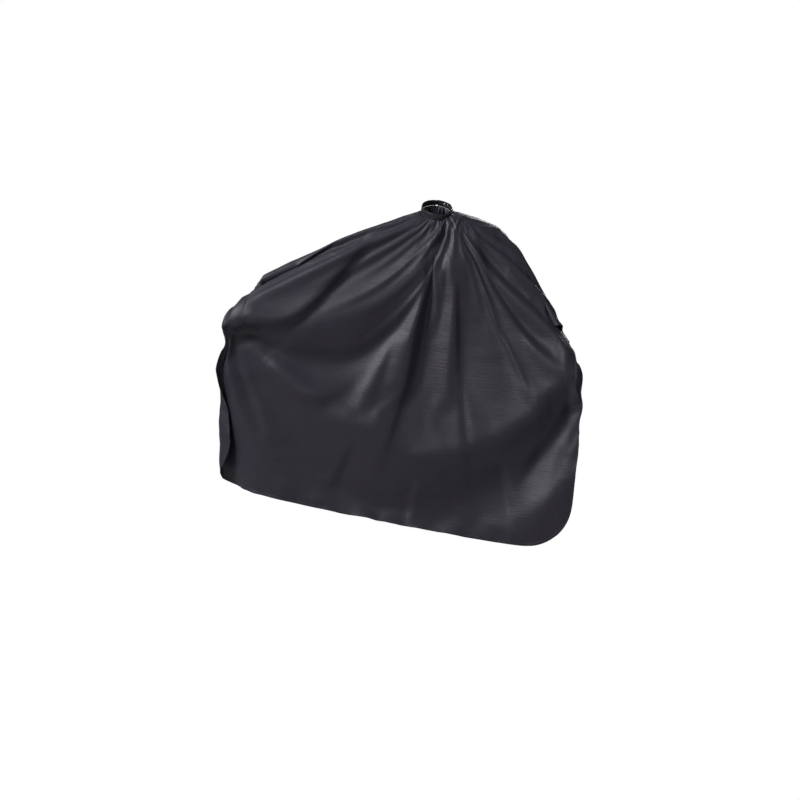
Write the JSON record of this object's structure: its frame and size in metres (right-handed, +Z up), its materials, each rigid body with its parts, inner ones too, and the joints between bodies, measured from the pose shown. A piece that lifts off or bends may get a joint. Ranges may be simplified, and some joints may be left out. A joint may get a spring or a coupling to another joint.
{
  "type": "barber cape",
  "caption": "Full-length cutting cape with a gathered neck, a stand-up neckband and a press-stud tab at the nape, shown worn and spread by the arms.",
  "frame": {"origin": "Middle of the neck opening, half way up the neckband.", "axes": "+Z up as worn, +X to the wearer's left (across the spread cape), the front of the cape faces -Y."},
  "size_m": [1.2055, 0.5022, 1.1515],
  "materials": {
    "cape_cloth": "thin plain-weave polyester, water-repellent, soft sheen",
    "band_cloth": "the same woven cloth, doubled and pressed",
    "interlining": "non-woven stiffener, matt",
    "sewing_thread": "spun polyester thread",
    "snap_nickel": "nickel-plated brass press studs",
    "cap_enamel": "black enamelled cap"
  },
  "bodies": {
    "cape": {"cape_panel": "cape_cloth", "neckband_facing": "band_cloth", "neckband_interlining": "interlining", "neckband_outer": "band_cloth", "neckband_topstitch_upper": "sewing_thread", "neckband_topstitch_lower": "sewing_thread", "snap_stud_1": "snap_nickel", "snap_stud_2": "snap_nickel", "snap_stud_3": "snap_nickel", "snap_stud_4": "snap_nickel", "snap_post_1": "snap_nickel", "snap_post_2": "snap_nickel", "snap_post_3": "snap_nickel", "snap_post_4": "snap_nickel"},
    "closure_tab": {"tab_facing": "band_cloth", "tab_interlining": "interlining", "tab_outer": "band_cloth", "tab_topstitch_upper": "sewing_thread", "tab_topstitch_lower": "sewing_thread", "snap_socket_1": "snap_nickel", "snap_socket_2": "snap_nickel", "snap_cap_1": "cap_enamel", "snap_cap_2": "cap_enamel"}
  },
  "joints": [
    {"name": "tab_peel", "type": "hinge", "parent": "cape", "child": "closure_tab", "pos_m": [-0.00447, 0.05657, 0.02944], "axis": [0.1219, -0.4506, 0.8844], "range_deg": [0, 70]}
  ]
}
